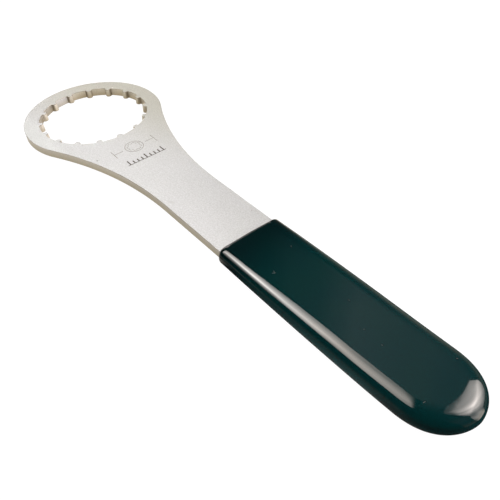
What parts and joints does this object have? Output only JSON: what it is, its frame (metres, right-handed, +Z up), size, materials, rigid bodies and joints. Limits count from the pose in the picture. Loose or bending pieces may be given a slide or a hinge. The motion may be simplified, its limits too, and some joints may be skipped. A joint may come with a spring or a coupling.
{
  "type": "bottom bracket tool",
  "caption": "Flat steel ring spanner with an internally toothed round head for notched bottom bracket cups, a curved neck and a straight handle in a glossy dipped grip.",
  "frame": {"origin": "middle of the tool's bounding box, on the flat that the grip lies on", "axes": "+X along the handle from the toothed ring to the grip's tip, +Z up and square to the plate, +Y across the plate"},
  "size_m": [0.2346, 0.0624, 0.007],
  "materials": {
    "steel": "pale satin steel with a fine tumbled grain, cut edges warmer and finely striated",
    "grip": "glossy dipped vinyl, very dark bottle green"
  },
  "bodies": {
    "root": {"wrench_plate": "steel", "grip_sleeve": "grip"}
  },
  "joints": []
}
